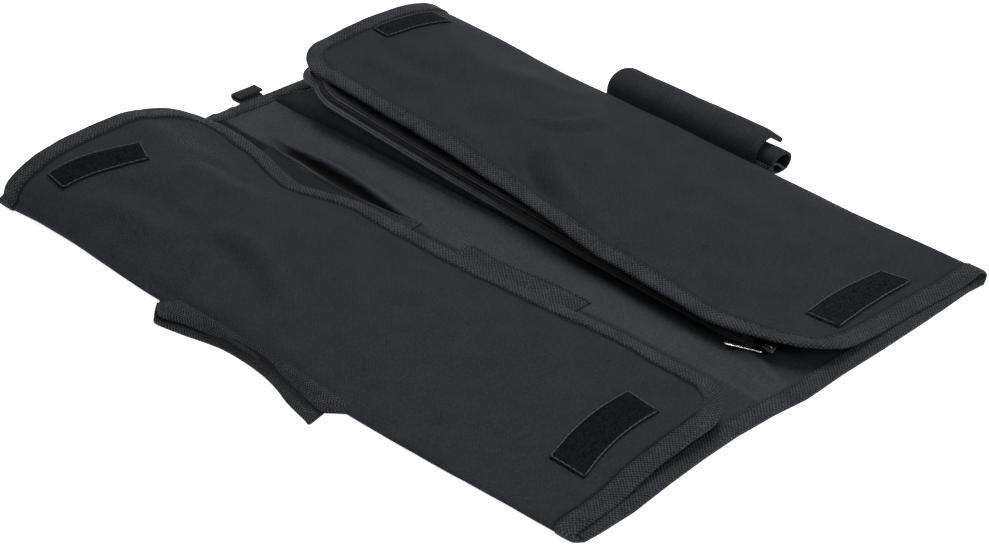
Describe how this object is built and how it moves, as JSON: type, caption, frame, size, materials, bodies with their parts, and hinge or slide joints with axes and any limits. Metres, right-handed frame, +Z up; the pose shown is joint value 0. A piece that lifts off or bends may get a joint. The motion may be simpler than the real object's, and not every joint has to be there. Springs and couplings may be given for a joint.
{
  "type": "drum stick bag",
  "caption": "Soft fabric stick bag lying open like a book, with two bound inner flaps, a zipped pouch, webbing handles, a padded grip wrap and a hanging loop.",
  "frame": {"origin": "middle of the bag's underside, on the surface that the open bag lies on", "axes": "+Z up out of the open bag's inside; +X across the bag from the left cover to the right cover with the pouch; +Y along the sticks, from the near end to the far end with the hanging loop"},
  "size_m": [0.4515, 0.4744, 0.0359],
  "materials": {
    "outer_fabric": "matte woven polyester",
    "lining_fabric": "plain nylon with a slight sheen",
    "binding_tape": "ribbed woven tape",
    "webbing": "ribbed webbing",
    "loop_tape": "fuzzy loop tape",
    "hook_tape": "fine hooks",
    "zip_tape": "woven zip tape",
    "zip_coil": "nylon coil",
    "bright_metal": "bright plated"
  },
  "bodies": {
    "spine": {"shell_spine": "outer_fabric", "lining_spine": "lining_fabric", "binding_spine_near": "binding_tape", "binding_spine_far": "binding_tape", "pocket_hem_far": "lining_fabric", "pocket_hem_near": "lining_fabric"},
    "left_cover": {"shell_left": "outer_fabric", "lining_left": "lining_fabric", "binding_left_near": "binding_tape", "binding_left_far": "binding_tape", "fold_left": "outer_fabric", "pocket_panel_far": "lining_fabric", "pocket_panel_near": "lining_fabric", "handle_tab_left_near": "webbing", "handle_tab_left_far": "webbing"},
    "right_cover": {"shell_right": "outer_fabric", "lining_right": "lining_fabric", "binding_right_near": "binding_tape", "binding_right_far": "binding_tape", "fold_right": "outer_fabric", "pouch_panel": "outer_fabric", "pouch_gusset": "outer_fabric", "zip_tape_upper": "zip_tape", "zip_tape_lower": "zip_tape", "zip_coil": "zip_coil", "handle_tab_right_near": "webbing", "handle_tab_right_far": "webbing"},
    "left_flap": {"flap_left_panel": "outer_fabric", "flap_left_lining": "lining_fabric", "flap_left_binding": "binding_tape", "loop_patch_near": "loop_tape", "loop_patch_far": "loop_tape"},
    "right_flap": {"flap_right_panel": "outer_fabric", "flap_right_lining": "lining_fabric", "flap_right_binding": "binding_tape", "hook_patch_near": "hook_tape", "hook_patch_far": "hook_tape"},
    "slider": {"zip_slider": "bright_metal"},
    "pull": {"zip_pull": "bright_metal"},
    "left_handle": {"handle_left_webbing": "webbing"},
    "right_handle": {"handle_right_webbing": "webbing", "grip_pad": "outer_fabric", "grip_loop_strip": "loop_tape"},
    "grip_wrap": {"grip_cover": "outer_fabric"},
    "hanger": {"hanger_loop": "binding_tape"}
  },
  "joints": [
    {"name": "left_cover_fold", "type": "hinge", "parent": "spine", "child": "left_cover", "pos_m": [-0.026, 0, 0.0022], "axis": [0, -1, 0], "range_deg": [-75, 0]},
    {"name": "right_cover_fold", "type": "hinge", "parent": "spine", "child": "right_cover", "pos_m": [0.008, 0, 0.0022], "axis": [0, -1, 0], "range_deg": [0, 75]},
    {"name": "left_flap_lift", "type": "hinge", "parent": "left_cover", "child": "left_flap", "pos_m": [-0.19325, 0.0015, 0.00745], "axis": [0.0121, -0.9999, -0.0113], "range_deg": [0, 90]},
    {"name": "right_flap_lift", "type": "hinge", "parent": "right_cover", "child": "right_flap", "pos_m": [0.18725, 0, 0.0135], "axis": [-0.0055, 0.9997, 0.0241], "range_deg": [0, 100]},
    {"name": "zip_travel", "type": "hinge", "parent": "right_cover", "child": "slider", "pos_m": [0.023, -0.191, 4.005], "axis": [0.9999, -0.0108, 0], "range_deg": [0, 5.05]},
    {"name": "pull_lift", "type": "hinge", "parent": "slider", "child": "pull", "pos_m": [0.0174, -0.19, 0.0064], "axis": [0.9549, 0.2971, 0], "range_deg": [0, 30]},
    {"name": "left_handle_swing", "type": "hinge", "parent": "left_cover", "child": "left_handle", "pos_m": [-0.197, 0.01, 0.0011], "axis": [0, -1, 0], "range_deg": [-20, 0]},
    {"name": "right_handle_swing", "type": "hinge", "parent": "right_cover", "child": "right_handle", "pos_m": [0.1935, 0.014, 0.0025], "axis": [0, 1, 0], "range_deg": [-15, 0]},
    {"name": "grip_wrap_open", "type": "hinge", "parent": "right_handle", "child": "grip_wrap", "pos_m": [0.1986, 0.014, 0.013], "axis": [0, 1, 0], "range_deg": [-75, 0]},
    {"name": "hanger_swing", "type": "hinge", "parent": "spine", "child": "hanger", "pos_m": [0.014, 0.2324, 0.0062], "axis": [1, 0, 0], "range_deg": [0, 80]}
  ]
}
